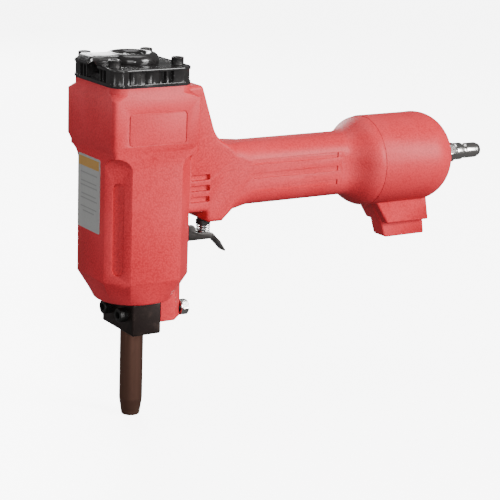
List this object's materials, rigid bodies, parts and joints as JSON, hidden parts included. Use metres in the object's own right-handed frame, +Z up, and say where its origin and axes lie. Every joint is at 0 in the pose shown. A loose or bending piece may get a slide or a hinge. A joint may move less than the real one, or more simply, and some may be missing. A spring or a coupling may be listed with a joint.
{
  "type": "pneumatic nail remover",
  "caption": "Air-driven hand tool with a round nose tube, cylinder case, straight grip, rear air chamber and finger trigger; a punch slides down the tube to push nails out of wood.",
  "frame": {"origin": "centre of the nose tube's mouth, on the drive axis", "axes": "+Z up along the drive axis away from the work, +X along the grip towards the air plug, Y across"},
  "size_m": [0.3473, 0.0714, 0.2609],
  "materials": {
    "red_casting": "satin",
    "black_cap": "gloss",
    "black_screw": "satin",
    "blackened_steel": "satin",
    "tube_steel": "satin",
    "plated_steel": "polished",
    "sleeve_alloy": "satin",
    "tool_steel": "satin",
    "spring_steel": "polished",
    "trigger_steel": "satin",
    "rubber": "matte",
    "bumper_rubber": "matte",
    "valve_plastic": "matte",
    "label_sheet": "satin"
  },
  "bodies": {
    "tool": {"housing": "red_casting", "end_cap": "red_casting", "end_cap_oring": "rubber", "air_plug": "plated_steel", "cylinder_cap": "black_cap", "cap_gasket": "rubber", "cap_screws": "black_screw", "exhaust_hood": "black_cap", "hood_screw": "black_screw", "nose_block": "blackened_steel", "nose_tube": "tube_steel", "nose_screws": "black_screw", "nose_nuts": "plated_steel", "nose_washers": "plated_steel", "cylinder_sleeve": "sleeve_alloy", "sleeve_oring": "rubber", "check_band": "rubber", "bumper": "bumper_rubber", "head_valve_spring": "spring_steel", "trigger_pin": "plated_steel", "trigger_spring": "spring_steel", "valve_bushing": "valve_plastic", "blank_label": "label_sheet"},
    "driver": {"piston": "sleeve_alloy", "piston_oring": "rubber", "driver_rod": "tool_steel", "driver_nut": "plated_steel"},
    "head_valve_group": {"head_valve": "valve_plastic", "head_valve_seal": "rubber", "head_valve_oring": "rubber"},
    "trigger": {"trigger_lever": "trigger_steel"},
    "stem": {"valve_stem": "tool_steel", "valve_oring": "rubber"}
  },
  "joints": [
    {"name": "driver_stroke", "type": "slide", "parent": "tool", "child": "driver", "axis": [0, 0, -1], "range_m": [0, 0.08]},
    {"name": "head_valve_lift", "type": "slide", "parent": "tool", "child": "head_valve_group", "axis": [0, 0, 1], "range_m": [0, 0.004], "stiffness_N_per_m": 600, "springref_m": -0.006, "deforming": ["head_valve_spring"]},
    {"name": "trigger_pull", "type": "hinge", "parent": "tool", "child": "trigger", "pos_m": [0.0366, 0, 0.1335], "axis": [0, -1, 0], "range_deg": [0, 7.5], "stiffness_Nm_per_rad": 0.5, "springref_deg": -8.59, "deforming": ["trigger_spring"]},
    {"name": "stem_lift", "type": "slide", "parent": "tool", "child": "stem", "axis": [0, 0, 1], "range_m": [0, 0.00237]}
  ],
  "couplings": [
    {"joint": "stem_lift", "follows": "trigger_pull", "m_per_rad": 0.018}
  ]
}
